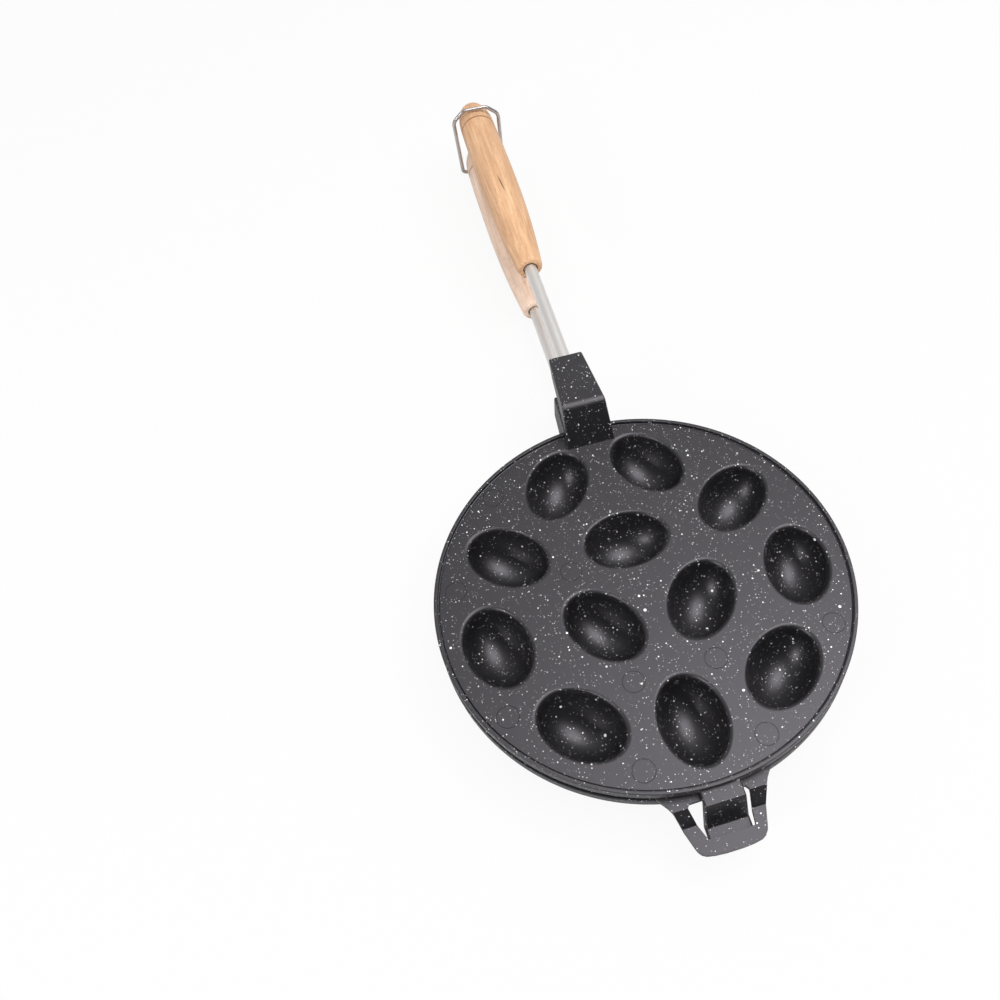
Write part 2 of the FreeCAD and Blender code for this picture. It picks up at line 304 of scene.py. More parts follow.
def nut_rings(half_length, depth, mouth, steps, foot, rounding=0, rise=0):
    """Rings of half a nut: a rounded mouth edge at height `mouth`, then an oval bowl below it."""
    rings = [(1 + rounding / half_length, mouth + rise)] if rise else []
    for step in range(mouth_steps):
        turn = math.pi / 2 * step / mouth_steps
        outward = rounding * (1 - math.sin(turn)) / half_length
        rings.append((1 + outward, mouth - rounding * (1 - math.cos(turn))))
    bowl = depth - rounding
    last_turn = math.acos(foot)
    for step in range(steps + 1):
        turn = last_turn * step / steps
        level = mouth - rounding - bowl * math.sin(turn) / math.sin(last_turn)
        rings.append((math.cos(turn), level))
    return rings


def copies_at_nuts(form):
    """One copy of a form at each nut, turned with it; the form itself is removed."""
    copies = []
    for x, y, turn in nut_places:
        copy = form.copy()
        copy.data = form.data.copy()
        bpy.context.scene.collection.objects.link(copy)
        copy.location = at(x, y, 0)
        copy.rotation_euler.z = math.radians(turn)
        copies.append(settle(copy))
    bpy.data.objects.remove(form)
    return copies


# %% [markdown]
# ## The plates
#
# A plate starts as a cylinder as wide as the recess beside the seam. Its far face is extruded
# in place, widened to the full radius, and raised to the lip. Insetting that face and pushing
# it back leaves the lip standing. The edges of the lip and of the rim's step are then beveled,
# as a real casting's never are perfectly sharp.

# %% Plate tool
half_height = 5.2 * mm
lip_width = 1.5 * mm
seam_height = 1.6 * mm
seam_recess = 1.2 * mm
lip_rounding = 0.35 * mm
step_rounding = 0.3 * mm
rim_corners = 256


def plate(name, way):
    """A plate that grows from the parting plane, up for way 1 and down for way -1."""
    clear_selection()
    bpy.ops.mesh.primitive_cylinder_add(
        vertices=rim_corners,
        radius=plate_radius - seam_recess,
        depth=seam_height,
        location=at(0, 0, 0) + Vector((0, 0, way * seam_height / 2)),
    )
    piece = bpy.context.object
    piece.name = name
    settle(piece)
    middle = at(0, 0, 0)
    start_edit(piece, "FACE")
    far = parting + way * seam_height
    pick(piece, lambda place: abs(place.z - far) < near, "faces")
    wider = plate_radius / (plate_radius - seam_recess)
    bpy.ops.mesh.extrude_region_move(TRANSFORM_OT_translate={"value": (0, 0, 0)})
    bpy.ops.transform.resize(value=(wider, wider, 1), center_override=(0, middle.y, far))
    rise = way * (half_height - seam_height)
    bpy.ops.mesh.extrude_region_move(TRANSFORM_OT_translate={"value": (0, 0, rise)})
    narrower = (plate_radius - lip_width) / plate_radius
    bpy.ops.mesh.extrude_region_move(TRANSFORM_OT_translate={"value": (0, 0, 0)})
    lip_middle = (0, middle.y, far + rise)
    bpy.ops.transform.resize(value=(narrower, narrower, 1), center_override=lip_middle)
    sink = -way * (half_height - surface)
    bpy.ops.mesh.extrude_region_move(TRANSFORM_OT_translate={"value": (0, 0, sink)})
    end_edit()
    face_outwards(piece)
    start_edit(piece, "EDGE")
    lip_level = parting + way * half_height
    pick(piece, lambda place: abs(place.z - lip_level) < near, "edges")
    bpy.ops.mesh.bevel(offset=lip_rounding, segments=3)
    end_edit()
    start_edit(piece, "EDGE")

    def is_rim_step(place):
        return (place - middle).xy.length > plate_radius - near and abs(place.z - far) < near

    pick(piece, is_rim_step, "edges")
    bpy.ops.mesh.bevel(offset=step_rounding, segments=2)
    end_edit()
    return piece


# %% [markdown]
# ## The lugs
#
# Each handle is held by a lug that climbs steeply from the plate, then runs back, thinner and
# narrower, to the mouth of the tube. Its side view is drawn first and swept to its full width,
# and each pair of corners is pulled in to the real taper. That twists the two side faces, so
# each is split from the knee to the root. The knee is rounded with a wide bevel, and a
# modifier then gives every other sharp edge a small one.

# %% Lug tool
# Place along the handle, height above the parting plane, and half width of each corner
lug_corners = (
    (70.5, 2.4, 10.4),
    (70.5, 3.9, 10.4),
    (79.7, 21.0, 9.4),
    (109.5, 19.4, 7.5),
    (109.5, 6.8, 6.9),
    (79.0, 1.7, 8.8),
)
lug_knee, lug_root = lug_corners[2], lug_corners[5]
knee_rounding = 2.2 * mm
socket_middle_y = 98
socket_height = 14.05
socket_radius = 3.05 * mm
socket_length = 26 * mm


def lug(name, way):
    """Handle lug, upright for way 1 and hanging for way -1."""
    widest = max(width for y, z, width in lug_corners)
    corners = [at(-widest, y, way * z) for y, z, width in lug_corners]
    piece = drawn_solid(name, corners, Vector((2 * widest * mm, 0, 0)))
    start_edit(piece)
    for y, z, width in lug_corners:
        station = at(0, y, way * z)
        bpy.ops.mesh.select_all(action="DESELECT")
        pick(piece, lambda place: (place.yz - station.yz).length < near)
        bpy.ops.transform.resize(value=(width / widest, 1, 1), center_override=station)
    for side in (1, -1):
        ends = [at(side * width, y, way * z) for y, z, width in (lug_knee, lug_root)]
        bpy.ops.mesh.select_all(action="DESELECT")
        pick(piece, lambda place: min((place - end).length for end in ends) < near)
        bpy.ops.mesh.vert_connect_path()
    knee = at(0, lug_knee[0], way * lug_knee[1])
    bpy.ops.mesh.select_mode(type="EDGE")
    bpy.ops.mesh.select_all(action="DESELECT")
    pick(piece, lambda place: (place - knee).length < near, "edges")
    bpy.ops.mesh.bevel(offset=knee_rounding, segments=8)
    end_edit()
    round_edges(piece, width=0.8 * mm, segments=4, angle=40)
    return piece


def tube_socket(way):
    """The round hole that the handle's tube goes into."""
    clear_selection()
    bpy.ops.mesh.primitive_cylinder_add(
        vertices=40,
        radius=socket_radius,
        depth=socket_length,
        location=at(0, socket_middle_y, way * socket_height),
        rotation=(math.pi / 2, 0, 0),
    )
    return settle(bpy.context.object)


# %% [markdown]
# ## The upper casting
#
# Outside it shows twelve smooth hollows; inside, the same metal bulges as the bumps that
# shape the dough. So the bumps are joined to the plate first, and the hollows are cut
# afterwards. The hinge tongue runs out over the loop's strip and hooks down through it.
#
# The surface also carries very fine lines: a groove just inside the lip, and the circles that
# the pins leave when they push the casting out of its die. Thin rings, sunk halfway into the
# surface, cut them.

# %% Tongue and ejector marks
tongue_side = (
    (-74.0, 3.2),
    (-85.3, 3.2),
    (-88.7, -8.1),
    (-97.0, -8.1),
    (-97.0, -11.1),
    (-87.1, -11.1),
    (-82.2, 0.2),
    (-74.0, 0.2),
)
tongue_middle = 0.9
tongue_half_width = 7.3
hook_half_width = 7.9
hook_depth = 5 * mm  # all corners further below the parting plane belong to the hook
lip_groove_gap = 0.25 * mm
lip_groove_depth = 0.38 * mm
ejector_radius = 4.1 * mm
ejector_depth = 0.17 * mm
ejector_marks = (
    (-22.0, -68.1), (22.2, -68.1), (15.6, -36.7), (-15.6, -36.7), (-61.7, -36.3), (61.7, -36.3),
    (-24.9, 13.3), (-69.4, 18.0), (-46.2, 56.2),
)


def tongue():
    """The hook from its side view, a little wider below than above."""
    corners = [at(tongue_middle - tongue_half_width, y, z) for y, z in tongue_side]
    piece = drawn_solid("tongue", corners, Vector((2 * tongue_half_width * mm, 0, 0)))
    start_edit(piece)
    pick(piece, lambda place: place.z < parting - hook_depth)
    wider = hook_half_width / tongue_half_width
    bpy.ops.transform.resize(value=(wider, 1, 1), center_override=at(tongue_middle, 0, 0))
    end_edit()
    round_edges(piece, width=0.7 * mm, segments=4, angle=30)
    return piece


def thin_ring(x, y, radius, thickness, corners, sides):
    """A ring that lies half in the plate's face."""
    clear_selection()
    bpy.ops.mesh.primitive_torus_add(
        location=at(x, y, 0) + Vector((0, 0, surface)),
        major_segments=corners,
        minor_segments=sides,
        major_radius=radius,
        minor_radius=thickness,
    )
    return settle(bpy.context.object)


def thin_rings():
    """Rings that score one groove inside the lip and a circle for each ejector pin."""
    groove_radius = plate_radius - lip_width - lip_groove_gap
    rings = [thin_ring(0, 0, groove_radius, lip_groove_depth, rim_corners, 8)]
    rings += [thin_ring(x, y, ejector_radius, ejector_depth, 48, 6) for x, y in ejector_marks]
    return rings


# %% Build the upper casting
def smooth(piece, angle=35):
    """Shade smoothly, but keep edges sharp that turn by more than an angle in degrees."""
    choose(piece)
    bpy.ops.object.shade_smooth_by_angle(angle=math.radians(angle))
    modifier = piece.modifiers.new("flat faces stay flat", "WEIGHTED_NORMAL")
    modifier.keep_sharp = True
    finish_modifier(piece, modifier)


upper_casting = plate("upper_casting", 1)
bump_rings = nut_rings(bump_half[0], bump_depth, bump_overlap, steps=14, foot=foot_share)
bump = stacked_rings("bump", *bump_half, bump_rings)
upper_parts = [lug("upper_lug", 1), tongue()] + copies_at_nuts(bump)
combine(upper_casting, upper_parts, "UNION")
hollow_rings = nut_rings(
    hollow_half[0],
    hollow_depth,
    surface,
    steps=16,
    foot=cutter_foot_share,
    rounding=hollow_rounding,
    rise=cutter_rise,
)
hollow = stacked_rings("hollow", *hollow_half, hollow_rings)
upper_cuts = copies_at_nuts(hollow) + [tube_socket(1)] + thin_rings()
combine(upper_casting, upper_cuts, "DIFFERENCE")
face_outwards(upper_casting)
smooth(upper_casting)
print("upper casting:", len(upper_casting.data.polygons), "faces")

# %% [markdown]
# ## The lower casting
#
# It is the upper one's mirror image, apart from the nuts, which are deep cups here and bulge
# as domes underneath, and from the hinge, where it carries the loop: a strip that steps down
# and ends in a crossbar behind a window.
#
# The cups give the cookies their walnut look, so their floors are wrinkled. The wrinkles are
# pressed into the cutter: a Displace modifier moves its skin along a cell-like texture, and a
# vertex group keeps the rings near the mouth as they are.

# %% Hinge loop
strip_side = (
    (-74, 0),
    (-82.9, 0),
    (-87.7, -4.8),
    (-99, -4.8),
    (-99, -6.7),
    (-88.2, -6.7),
    (-83.4, -1.9),
    (-74, -1.9),
)
strip_half_width = 24
loop_plan = (
    (21.5, -74), (20.4, -77.4), (19.2, -79.0), (17.8, -80.8), (16.9, -82.4), (14.9, -87.6), (13.7, -91.4),
    (12.9, -94.0), (12.3, -95.6), (11.3, -96.9), (9.8, -97.7), (7.0, -98.2), (3.0, -98.5),
)
loop_plan += tuple((-x, y) for x, y in reversed(loop_plan))
window_plan = (
    (-10.6, -81.6),
    (-11.5, -82.8),
    (-8.1, -91.9),
    (-7.4, -93.0),
    (9.1, -93.0),
    (9.3, -91.8),
    (10.5, -82.4),
    (9.6, -81.2),
)
below_strip = -11
through_strip = Vector((0, 0, 14 * mm))


def hinge_loop():
    """The strip from its side view, trimmed to the loop's outline and pierced by the window."""
    corners = [at(-strip_half_width, y, z) for y, z in strip_side]
    strip = drawn_solid("loop", corners, Vector((2 * strip_half_width * mm, 0, 0)))
    outline_corners = [at(x, y, below_strip) for x, y in loop_plan]
    combine(strip, [drawn_solid("loop_outline", outline_corners, through_strip)], "INTERSECT")
    window_corners = [at(x, y, below_strip) for x, y in window_plan]
    combine(strip, [drawn_solid("window", window_corners, through_strip)], "DIFFERENCE")
    round_edges(strip, width=0.7 * mm, segments=3, angle=35)
    return strip


# %% Wrinkles of a walnut shell
shell_cell = 6.5 * mm
smooth_mouth = 1.5 * mm
wrinkle_depth = 1.2 * mm


def wrinkle(form):
    """Press the wrinkles of a walnut shell into a form, but for the rings near its mouth."""
    wrinkles = bpy.data.textures.new("shell", "VORONOI")
    wrinkles.noise_scale = shell_cell
    wrinkles.weight_1 = -1.0
    wrinkles.weight_2 = 1.0
    wrinkles.noise_intensity = 1.6
    group = form.vertex_groups.new(name="below the mouth")
    below = [corner.index for corner in form.data.vertices if corner.co.z < -smooth_mouth]
    group.add(below, 1.0, "REPLACE")
    modifier = form.modifiers.new("wrinkles", "DISPLACE")
    modifier.texture = wrinkles
    modifier.texture_coords = "LOCAL"
    modifier.vertex_group = group.name
    modifier.mid_level = 0.2
    modifier.strength = wrinkle_depth
    finish_modifier(form, modifier)
    return form


# %% Build the lower casting
lower_casting = plate("lower_casting", -1)
dome_rings = nut_rings(
    dome_half[0], dome_depth - dome_start, -dome_start, steps=14, foot=foot_share
)
dome = stacked_rings("dome", *dome_half, dome_rings)
lower_parts = [lug("lower_lug", -1), hinge_loop()] + copies_at_nuts(dome)
combine(lower_casting, lower_parts, "UNION")
cup_rings = nut_rings(
    cup_half[0],
    cup_depth,
    0,
    steps=30,
    foot=cutter_foot_share,
    rounding=cup_rounding,
    rise=cutter_rise,
)
cup = stacked_rings("cup", *cup_half, cup_rings, corners=96)
lower_cuts = copies_at_nuts(wrinkle(cup)) + [tube_socket(-1)]
combine(lower_casting, lower_cuts, "DIFFERENCE")
face_outwards(lower_casting)
smooth(lower_casting)
print("lower casting:", len(lower_casting.data.polygons), "faces")

# %% [markdown]
# ## The grips
#
# A turned grip is a stack of rings as well, made upright and then laid along Y. Its body runs
# smoothly through a few measured radii, so a short curve function fills in the rings between
# them. A small groove is turned near the far end, and the tip is rounded but full. Cylinders
# then drill the hole for the tube, the one for the pin and, below, the two for the bail.

# %% Grip tool
# Place along the grip and radius there, in millimetres
grip_stations = (
    (0, 6.1),
    (12.4, 7.2),
    (27.6, 8.35),
    (45.5, 9.2),
    (66.2, 9.62),
    (88.3, 9.62),
    (104.9, 9.5),
    (116, 9.3),
)
grip_groove = ((116.0, 9.3), (116.25, 8.6), (116.6, 8.3), (116.95, 8.6), (117.2, 9.3))
grip_start = 173
grip_near_rounding = 1.9
grip_near_steps = 6
grip_tip_start = 117
grip_tip_radius = 9.3
grip_tip_length = 21
grip_tip_fullness = 2.6
grip_tip_steps = 24
grip_ring_gap = 3

# Holes in a grip: radius, and places along the grip or across it
drill_overrun = 3
entry_radius, entry_end = 3.6 * mm, 5
bore_radius, bore_end = 3.04 * mm, 70.1
pin_radius, pin_place, pin_overrun = 1.05 * mm, 18, 1
bail_y = 294.5
bail_hole_radius = 1.15 * mm
bail_hole_inner, bail_hole_outer = 4.7, 14


def between(stations, place):
    """Radius at a place, on a smooth curve through the stations."""
    last = len(stations) - 1
    index = max(i for i in range(last) if stations[i][0] <= place + 0.001)
    (x0, y0), (x1, y1) = stations[index], stations[index + 1]
    before, after = stations[max(index - 1, 0)], stations[min(index + 2, last)]
    slope0 = (y1 - before[1]) / (x1 - before[0])
    slope1 = (after[1] - y0) / (after[0] - x0)
    part = (place - x0) / (x1 - x0)
    run = x1 - x0
    return (
        (2 * part**3 - 3 * part**2 + 1) * y0
        + (part**3 - 2 * part**2 + part) * run * slope0
        + (3 * part**2 - 2 * part**3) * y1
        + (part**3 - part**2) * run * slope1
    )


def grip_profile():
    """Place and radius of every ring, from the near end to the tip, in millimetres."""
    profile = []
    for step in range(grip_near_steps + 1):
        turn = math.pi / 2 * step / grip_near_steps
        place = grip_near_rounding * (1 - math.cos(turn))
        sunk = grip_near_rounding * (1 - math.sin(turn))
        profile.append((place, between(grip_stations, place) - sunk))
    for place in range(4, grip_stations[-1][0], grip_ring_gap):
        profile.append((place, between(grip_stations, place)))
    profile += grip_groove
    bulge = 2 / grip_tip_fullness
    for step in range(2, grip_tip_steps):
        turn = math.pi / 2 * step / grip_tip_steps
        place = grip_tip_start + grip_tip_length * math.sin(turn) ** bulge
        profile.append((place, grip_tip_radius * math.cos(turn) ** bulge))
    return profile


def cylinder_between(start, end, radius, corners=40):
    """Cylinder from one point to another."""
    clear_selection()
    bpy.ops.mesh.primitive_cylinder_add(vertices=corners, radius=radius, depth=(end - start).length)
    piece = bpy.context.object
    piece.rotation_mode = "QUATERNION"
    piece.rotation_quaternion = (end - start).to_track_quat("Z", "Y")
    piece.location = (start + end) / 2
    return settle(piece)


def turned_grip(name, way):
    """Grip on the upper handle for way 1 and on the lower one for way -1."""
    widest = max(radius for place, radius in grip_stations)
    rings = [(radius / widest, place * mm) for place, radius in grip_profile()]
    piece = stacked_rings(name, widest * mm, widest * mm, rings, 64)
    piece.rotation_euler.x = -math.pi / 2
    piece.location = at(0, grip_start, 0) + Vector((0, 0, way * handle_rise))
    settle(piece)
    axis = way * handle_rise / mm
    drill_start = at(0, grip_start - drill_overrun, axis)
    pin_y = grip_start + pin_place
    pin_top = axis - way * pin_overrun
    cuts = [
        cylinder_between(drill_start, at(0, grip_start + entry_end, axis), entry_radius),
        cylinder_between(drill_start, at(0, grip_start + bore_end, axis), bore_radius),
        cylinder_between(at(0, pin_y, 0), at(0, pin_y, pin_top), pin_radius, 24),
    ]
    if way < 0:
        for side in (1, -1):
            hole_start = at(side * bail_hole_inner, bail_y, axis)
            hole_end = at(side * bail_hole_outer, bail_y, axis)
            cuts.append(cylinder_between(hole_start, hole_end, bail_hole_radius, 24))
    for cut in cuts:
        combine(piece, [cut], "DIFFERENCE")
    face_outwards(piece)
    smooth(piece)
    return piece


upper_grip = turned_grip("upper_wood", 1)
lower_grip = turned_grip("lower_wood", -1)
print("grips:", len(upper_grip.data.polygons), "and", len(lower_grip.data.polygons), "faces")

# %% [markdown]
# ## The bail
#
# The bail is one bent wire. Its middle line is drawn as a row of corners, the corners are
# beveled to bends, and the line becomes a curve that is given the wire's thickness. At the
# end it is turned back to a mesh, like all the other pieces.

# %% Bail wire
# Right half of the wire's middle line: place across the handle and height
bail_right = ((4.8, -14.05), (11.7, -14.05), (12.5, 19.1), (6.4, 24.7))
lower_bend = 2.1 * mm
upper_bend = 2.0 * mm
wire_radius = 1.0 * mm


def bent_wire(name):
    side = [at(x, bail_y, z) for x, z in bail_right]
    corners = side + [at(-x, bail_y, z) for x, z in reversed(bail_right)]
    piece = drawn_line(name, corners)
    lower_corners = [corners[1], corners[-2]]
    for spots, bend in ((lower_corners, lower_bend), (corners[2:-2], upper_bend)):
        bpy.ops.mesh.select_all(action="DESELECT")
        pick(piece, lambda place: min((place - spot).length for spot in spots) < near)
        bpy.ops.mesh.bevel(offset=bend, segments=8, affect="VERTICES")
    end_edit()
    choose(piece)
    bpy.ops.object.convert(target="CURVE")
    piece.data.bevel_depth = wire_radius
    piece.data.bevel_resolution = 6
    piece.data.use_fill_caps = True
    bpy.ops.object.convert(target="MESH")
    face_outwards(piece)
    smooth(piece, 50)
    return piece


bail = bent_wire("bail_wire")
print("bail:", len(bail.data.polygons), "faces")

# %% [markdown]
# ## Hand the pieces over
#
# Each dressed piece takes the place of its engineering node and moves with the same body.

# %% Pieces ride on their bodies
for piece, node_name, body, slot in (
    (upper_casting, "upper_mould_half", "upper_half", "coated_casting"),
    (lower_casting, "lower_mould_half", "lower_half", "coated_casting"),
    (upper_grip, "upper_grip", "upper_half", "grip_wood"),
    (lower_grip, "lower_grip", "lower_half", "grip_wood"),
    (bail, "locking_bail", "bail", "bail_wire"),
):
    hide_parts(node_name)
    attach(piece, body)

# %% [markdown]
# ## The finishes
#
# Every material reads Object coordinates. The pieces sit untransformed at the origin, so
# these are real places on the object, in metres, and a scale of 1000 counts millimetres.

# %% Material tools
def new_material(name):
    material = bpy.data.materials.new(name)
    material.use_nodes = True
    tree = material.node_tree
    tree.nodes.clear()
    output = tree.nodes.new("ShaderNodeOutputMaterial")
    shader = tree.nodes.new("ShaderNodeBsdfPrincipled")
    tree.links.new(shader.outputs["BSDF"], output.inputs["Surface"])
    return material, tree, shader


def node(tree, kind, **values):
    made = tree.nodes.new(kind)
    for key, value in values.items():
        if hasattr(made, key):
            setattr(made, key, value)
        else:
            made.inputs[key].default_value = value
    return made


def link(tree, source, output, target, socket):
    tree.links.new(source.outputs[output], target.inputs[socket])


# Sockets of a Mix node that mixes colours
mix_under, mix_over, mix_result = 6, 7, 2


def painted(tree, under, under_output, colour, mask, mask_output=0):
    """A colour laid over what is there, as far as the mask says."""
    mix = node(tree, "ShaderNodeMix", data_type="RGBA")
    mix.inputs[mix_over].default_value = (*colour, 1)
    link(tree, under, under_output, mix, mix_under)
    link(tree, mask, mask_output, mix, 0)
    return mix


# %% [markdown]
# ### Speckled coat
#
# The coat is dark grey with white flecks of many sizes. A Voronoi texture scatters one point
# per cell; the distance to it, compared with a threshold, draws a round dot. The cell's own
# random colour decides whether it holds a dot at all and how large it is. The coat lays three
# such layers over one another: dust, fine flecks and a few large ones.

# %% Speckle group
def speckle_group():
    group = bpy.data.node_groups.new("speckles", "ShaderNodeTree")
    group.interface.new_socket("Vector", in_out="INPUT", socket_type="NodeSocketVector")
    group.interface.new_socket("Cells per mm", in_out="INPUT", socket_type="NodeSocketFloat")
    group.interface.new_socket("Share", in_out="INPUT", socket_type="NodeSocketFloat")
    group.interface.new_socket("Size", in_out="INPUT", socket_type="NodeSocketFloat")
    group.interface.new_socket("Mask", in_out="OUTPUT", socket_type="NodeSocketFloat")
    enter = group.nodes.new("NodeGroupInput")
    leave = group.nodes.new("NodeGroupOutput")
    scale = node(group, "ShaderNodeMath", operation="MULTIPLY")
    scale.inputs[1].default_value = 1 / mm
    link(group, enter, "Cells per mm", scale, 0)
    cells = node(group, "ShaderNodeTexVoronoi")
    link(group, enter, "Vector", cells, "Vector")
    link(group, scale, 0, cells, "Scale")
    parts = node(group, "ShaderNodeSeparateColor")
    link(group, cells, "Color", parts, 0)
    held = node(group, "ShaderNodeMath", operation="LESS_THAN")
    link(group, parts, 0, held, 0)
    link(group, enter, "Share", held, 1)
    vary = node(group, "ShaderNodeMath", operation="POWER")
    vary.inputs[1].default_value = 3.0
    link(group, parts, 1, vary, 0)
    vary_more = node(group, "ShaderNodeMapRange")
    vary_more.inputs["To Min"].default_value = 0.35
    link(group, vary, 0, vary_more, "Value")
    radius = node(group, "ShaderNodeMath", operation="MULTIPLY")
    link(group, vary_more, "Result", radius, 0)
    link(group, enter, "Size", radius, 1)
    inside = node(group, "ShaderNodeMath", operation="LESS_THAN")
    link(group, cells, "Distance", inside, 0)
    link(group, radius, 0, inside, 1)
    mask = node(group, "ShaderNodeMath", operation="MULTIPLY")
    link(group, inside, 0, mask, 0)
    link(group, held, 0, mask, 1)
    link(group, mask, 0, leave, "Mask")
    return group


speckles = speckle_group()


def add_speckles(tree, coordinates, cells, share, size):
    made = tree.nodes.new("ShaderNodeGroup")
    made.node_tree = speckles
    made.inputs["Cells per mm"].default_value = cells
    made.inputs["Share"].default_value = share
    made.inputs["Size"].default_value = size
    link(tree, coordinates, "Object", made, "Vector")
    return made


# %% Speckled coat
def coat_material():
    material, tree, shader = new_material("speckled_coat")
    coordinates = node(tree, "ShaderNodeTexCoord")
    dust = add_speckles(tree, coordinates, cells=1.6, share=0.36, size=0.27)
    fine = add_speckles(tree, coordinates, cells=0.75, share=0.30, size=0.23)
    large = add_speckles(tree, coordinates, cells=0.30, share=0.22, size=0.18)
    some = node(tree, "ShaderNodeMath", operation="MAXIMUM")
    link(tree, fine, "Mask", some, 0)
    link(tree, large, "Mask", some, 1)
    both = node(tree, "ShaderNodeMath", operation="MAXIMUM")
    link(tree, some, 0, both, 0)
    link(tree, dust, "Mask", both, 1)
    clouds = node(tree, "ShaderNodeTexNoise", Scale=60.0, Detail=4.0, Roughness=0.6)
    link(tree, coordinates, "Object", clouds, "Vector")
    base = node(tree, "ShaderNodeMix", data_type="RGBA")
    base.inputs[mix_under].default_value = (0.0015, 0.0015, 0.002, 1)
    base.inputs[mix_over].default_value = (0.004, 0.004, 0.005, 1)
    link(tree, clouds, "Fac", base, 0)
    speckled = painted(tree, base, mix_result, (0.95, 0.95, 0.95), both)
    link(tree, speckled, mix_result, shader, "Base Color")
    grain = node(tree, "ShaderNodeTexNoise", Scale=2400.0, Detail=2.0)
    link(tree, coordinates, "Object", grain, "Vector")
    bump_node = node(tree, "ShaderNodeBump", Strength=0.3, Distance=0.0001)
    link(tree, grain, "Fac", bump_node, "Height")
    link(tree, bump_node, "Normal", shader, "Normal")
    shader.inputs["Roughness"].default_value = 0.45
    shader.inputs["Specular IOR Level"].default_value = 0.95
    shader.inputs["Specular Tint"].default_value = (0.96, 0.92, 1.0, 1)
    return material


coat = coat_material()
for piece in (upper_casting, lower_casting):
    piece.data.materials.clear()
    piece.data.materials.append(coat)

# %% [markdown]
# ### Wood
#
# The grips are turned from light, close-grained wood with the grain along the handle. Three
# noises stretched along Y make the broad figure, the short dark flecks that this kind of wood
# shows, and the long fine streaks. Two dark marks lie over them: painted shade along the bottom
# of the turned groove, and a thin crack on top of the upper grip. The lower grip's paler
# colours are painted light, standing in for the brighter side light on the same wood.

# %% Painted groove shade and a crack in the wood
crack_middle = at(-0.4, 229.3, 23.5)
crack_half_size = Vector((0.42, 8.5, 3)) * mm
# Painted shade: a dark band along the bottom of the turned groove, where shade falls.
groove_shade_middle = at(0, grip_start + grip_groove[2][0], 0)
groove_shade_half_size = Vector((1000, 0.75, 1000)) * mm


def crack_and_shade_mask(tree, coordinates, middle, half_size, turn=0):
    """Mask of an egg shape at a place: 1 near its middle, fading to 0 at its skin."""
    placed = node(tree, "ShaderNodeVectorMath", operation="SUBTRACT")
    link(tree, coordinates, "Object", placed, 0)
    placed.inputs[1].default_value = middle
    turned = node(tree, "ShaderNodeVectorRotate", rotation_type="Z_AXIS")
    turned.inputs["Angle"].default_value = math.radians(turn)
    link(tree, placed, 0, turned, "Vector")
    shrunk = node(tree, "ShaderNodeVectorMath", operation="DIVIDE")
    shrunk.inputs[1].default_value = half_size
    link(tree, turned, 0, shrunk, 0)
    reach = node(tree, "ShaderNodeVectorMath", operation="LENGTH")
    link(tree, shrunk, 0, reach, 0)
    mask = node(tree, "ShaderNodeMapRange")
    mask.inputs["From Min"].default_value = 1.0
    mask.inputs["From Max"].default_value = 0.4
    link(tree, reach, "Value", mask, "Value")
    return mask


# %% Wood
def wood_material(name, dark_grain, light_grain):
    material, tree, shader = new_material(name)
    coordinates = node(tree, "ShaderNodeTexCoord")
    along = node(tree, "ShaderNodeMapping")
    along.inputs["Scale"].default_value = (1.0, 0.08, 1.0)
    link(tree, coordinates, "Object", along, "Vector")
    figure = node(tree, "ShaderNodeTexNoise", Scale=330.0, Detail=6.0, Roughness=0.7, Distortion=0.4)
    link(tree, along, "Vector", figure, "Vector")
    ramp = node(tree, "ShaderNodeValToRGB")
    ramp.color_ramp.elements[0].position = 0.32
    ramp.color_ramp.elements[0].color = (*dark_grain, 1)
    ramp.color_ramp.elements[1].position = 0.68
    ramp.color_ramp.elements[1].color = (*light_grain, 1)
    link(tree, figure, "Fac", ramp, "Fac")
    flecks_along = node(tree, "ShaderNodeMapping")
    flecks_along.inputs["Scale"].default_value = (1.0, 0.16, 1.0)
    link(tree, coordinates, "Object", flecks_along, "Vector")
    flecks = node(tree, "ShaderNodeTexNoise", Scale=2200.0, Detail=1.0)
    link(tree, flecks_along, "Vector", flecks, "Vector")
    dark = node(tree, "ShaderNodeMapRange")
    dark.inputs["From Min"].default_value = 0.62
    dark.inputs["From Max"].default_value = 0.74
    dark.inputs["To Max"].default_value = 0.55
    link(tree, flecks, "Fac", dark, "Value")
    flecked = painted(tree, ramp, "Color", (0.42, 0.22, 0.11), dark, "Result")
    streaks_along = node(tree, "ShaderNodeMapping")
    streaks_along.inputs["Scale"].default_value = (1.0, 0.02, 1.0)
    link(tree, coordinates, "Object", streaks_along, "Vector")
    streaks = node(tree, "ShaderNodeTexNoise", Scale=1100.0, Detail=3.0)
    link(tree, streaks_along, "Vector", streaks, "Vector")
    shade = node(tree, "ShaderNodeMapRange")
    shade.inputs["From Min"].default_value = 0.3
    shade.inputs["From Max"].default_value = 0.7
    shade.inputs["To Min"].default_value = 0.86
    shade.inputs["To Max"].default_value = 1.1
    link(tree, streaks, "Fac", shade, "Value")
    streaked = node(tree, "ShaderNodeMix", data_type="RGBA", blend_type="MULTIPLY")
    streaked.inputs[0].default_value = 1.0
    link(tree, flecked, mix_result, streaked, mix_under)
    link(tree, shade, "Result", streaked, mix_over)
    # Painted shade darkens the bottom of the turned groove; the crack after it is the wood's own.
    groove = crack_and_shade_mask(tree, coordinates, groove_shade_middle, groove_shade_half_size)
    groove_shaded = painted(tree, streaked, mix_result, (0.25, 0.12, 0.06), groove)
    crack = crack_and_shade_mask(tree, coordinates, crack_middle, crack_half_size, turn=-4)
    cracked = painted(tree, groove_shaded, mix_result, (0.10, 0.045, 0.02), crack)
    link(tree, cracked, mix_result, shader, "Base Color")
    bump_node = node(tree, "ShaderNodeBump", Strength=0.25, Distance=0.0002)
    link(tree, flecks, "Fac", bump_node, "Height")
    link(tree, bump_node, "Normal", shader, "Normal")
    shader.inputs["Roughness"].default_value = 0.5
    return material


